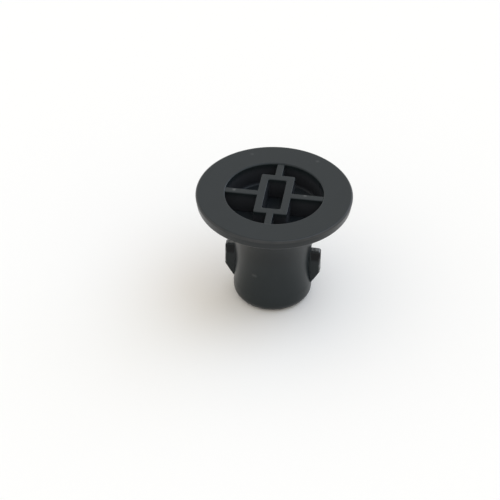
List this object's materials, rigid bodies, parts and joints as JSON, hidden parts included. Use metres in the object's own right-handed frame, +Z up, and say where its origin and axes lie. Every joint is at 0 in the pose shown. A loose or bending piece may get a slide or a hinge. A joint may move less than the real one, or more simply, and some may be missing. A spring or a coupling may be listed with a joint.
{
  "type": "bumper mount cover",
  "caption": "Moulded push-in cover with a round flange, a ribbed cup around a framed slot, and a hollow trumpet-shaped neck with snap fins, to close a mounting hole in a bumper.",
  "frame": {"origin": "centre of the foot ring, on the plane that the cover stands on", "axes": "+Z up along the neck to the flange face, X through the two snap fins, Y along the slot"},
  "size_m": [0.03, 0.03, 0.0234],
  "materials": {
    "moulding": "fine-grained satin, charcoal black"
  },
  "bodies": {
    "root": {"mount_cover": "moulding"}
  },
  "joints": []
}
